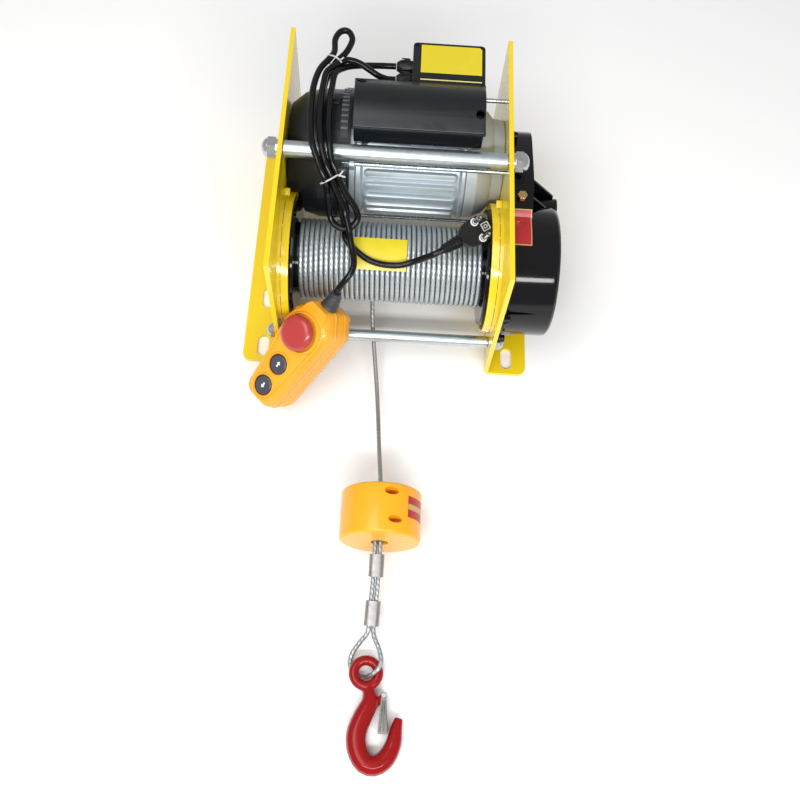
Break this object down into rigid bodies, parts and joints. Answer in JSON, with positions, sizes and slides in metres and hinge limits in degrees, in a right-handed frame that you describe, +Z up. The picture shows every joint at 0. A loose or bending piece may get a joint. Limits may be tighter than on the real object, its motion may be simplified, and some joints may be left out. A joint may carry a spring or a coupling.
{
  "type": "electric wire rope hoist",
  "caption": "Compact electric hoist: a geared motor beside a rope drum between two slotted feet plates, with a wire rope, limit weight, latched hook, mains lead and hand pendant.",
  "frame": {"origin": "middle of the footprint of the hoist with its hook laid out, on the surface the feet stand on", "axes": "+X along the drum from the fan end to the gearbox end, +Y from the hook to the back of the frame, +Z up"},
  "size_m": [0.355, 0.7689, 0.2453],
  "materials": {
    "yellow_paint": "gloss chrome yellow powder coat, worn at the edges",
    "zinc_bar": "galvanised, dull and mottled",
    "zinc_nut": "bright zinc plate",
    "bare_aluminium": "bare casting, satin",
    "stud_steel": "zinc plated rod",
    "black_cover_paint": "satin black pressed steel",
    "fan_plastic": "moulded",
    "core_steel": "stacked laminations",
    "enamel_copper": "enamelled copper wire, varnished",
    "machined_steel": "machined and oiled",
    "bearing_steel": "ground",
    "brake_lining": "friction lining",
    "magnet_iron": "plain",
    "black_box_plastic": "fine moulded grain",
    "capacitor_can": "drawn can",
    "gland_rubber": "matt",
    "gloss_black_paint": "gloss black over a casting",
    "oil_plug_brass": "machined",
    "drum_paint": "satin black",
    "wire_rope": "galvanised strands, lightly greased",
    "ferrule_aluminium": "pressed, dull",
    "orange_weight": "gloss over a casting",
    "red_hook_paint": "thick gloss over a forging",
    "latch_zinc": "folded sheet, zinc plated",
    "orange_plastic": "satin moulded",
    "grey_boot": "ribbed",
    "red_button": "moulded",
    "grey_button": "moulded, white arrow",
    "cord_rubber": "smooth sheath, low gloss"
  },
  "bodies": {
    "frame": {"brake_magnet": "magnet_iron", "capacitor_box_base": "black_box_plastic", "capacitor_box_lid": "black_box_plastic", "cord_hank": "cord_rubber", "drum_bearing_left": "bearing_steel", "drum_bearing_right": "bearing_steel", "fan_cover": "black_cover_paint", "gearbox_cover": "gloss_black_paint", "hoist_rope": "wire_rope", "left_side_plate": "yellow_paint", "lower_ferrule": "ferrule_aluminium", "lower_tie_bar": "zinc_bar", "lower_tie_nut_left": "zinc_nut", "lower_tie_nut_right": "zinc_nut", "mains_cable_gland": "gland_rubber", "mains_cord": "cord_rubber", "mains_cord_tail": "cord_rubber", "mains_plug": "cord_rubber", "motor_bearing_front": "bearing_steel", "motor_bearing_rear": "bearing_steel", "motor_front_shield": "bare_aluminium", "motor_housing": "bare_aluminium", "motor_rear_shield": "bare_aluminium", "motor_stud_1": "stud_steel", "motor_stud_2": "stud_steel", "motor_stud_3": "stud_steel", "motor_stud_4": "stud_steel", "oil_plug": "oil_plug_brass", "pendant_back_shell": "orange_plastic", "pendant_boot": "grey_boot", "pendant_cable_gland": "gland_rubber", "pendant_cord": "cord_rubber", "pendant_cord_tail": "cord_rubber", "pendant_front_shell": "orange_plastic", "right_side_plate": "yellow_paint", "rope_eye": "wire_rope", "run_capacitor": "capacitor_can", "stator_core": "core_steel", "stator_winding": "enamel_copper", "switch_box_base": "black_box_plastic", "switch_box_lid": "black_box_plastic", "upper_ferrule": "ferrule_aluminium", "upper_tie_bar": "zinc_bar", "upper_tie_nut_left": "zinc_nut", "upper_tie_nut_right": "zinc_nut"},
    "drum": {"rope_drum": "drum_paint", "rope_winding": "wire_rope", "drum_gear": "machined_steel", "drum_shaft": "machined_steel"},
    "idler": {"idler_gear": "machined_steel", "idler_shaft": "machined_steel"},
    "rotor": {"rotor_shaft": "machined_steel", "cooling_fan": "fan_plastic", "brake_disc": "brake_lining"},
    "weight": {"limit_weight": "orange_weight"},
    "hook": {"hook": "red_hook_paint"},
    "latch": {"hook_latch": "latch_zinc"},
    "estop": {"estop_button": "red_button"},
    "up": {"up_button": "grey_button"},
    "down": {"down_button": "grey_button"}
  },
  "joints": [
    {"name": "drum_spin", "type": "hinge", "parent": "frame", "child": "drum", "pos_m": [-0.0075, 0.15595, 0.105], "axis": [1, 0, 0], "continuous": true},
    {"name": "idler_spin", "type": "hinge", "parent": "frame", "child": "idler", "pos_m": [-0.0075, 0.22005, 0.1325], "axis": [1, 0, 0], "continuous": true},
    {"name": "motor_spin", "type": "hinge", "parent": "frame", "child": "rotor", "pos_m": [-0.0075, 0.27195, 0.1455], "axis": [1, 0, 0], "continuous": true},
    {"name": "weight_slide", "type": "slide", "parent": "frame", "child": "weight", "axis": [0, 1, 0], "range_m": [-0.009, 0.018]},
    {"name": "hook_swing", "type": "hinge", "parent": "frame", "child": "hook", "pos_m": [-0.0055, -0.28955, 0.011], "axis": [0, 0, 1], "range_deg": [-13, 13]},
    {"name": "latch_hinge", "type": "hinge", "parent": "hook", "child": "latch", "pos_m": [0.0105, -0.30655, 0.011], "axis": [0, 0, -1], "range_deg": [0, 14.5], "stiffness_Nm_per_rad": 0.05, "springref_deg": -17.19},
    {"name": "estop_press", "type": "slide", "parent": "frame", "child": "estop", "axis": [0.4861, 0.4181, -0.7674], "range_m": [0, 0.004], "stiffness_N_per_m": 600, "springref_m": -0.001},
    {"name": "up_press", "type": "slide", "parent": "frame", "child": "up", "axis": [0.4861, 0.4181, -0.7674], "range_m": [0, 0.0035], "stiffness_N_per_m": 400, "springref_m": -0.001},
    {"name": "down_press", "type": "slide", "parent": "frame", "child": "down", "axis": [0.4861, 0.4181, -0.7674], "range_m": [0, 0.0035], "stiffness_N_per_m": 400, "springref_m": -0.001}
  ],
  "couplings": [
    {"joint": "idler_spin", "follows": "drum_spin", "ratio": -6.1538},
    {"joint": "motor_spin", "follows": "drum_spin", "ratio": 53.706}
  ]
}
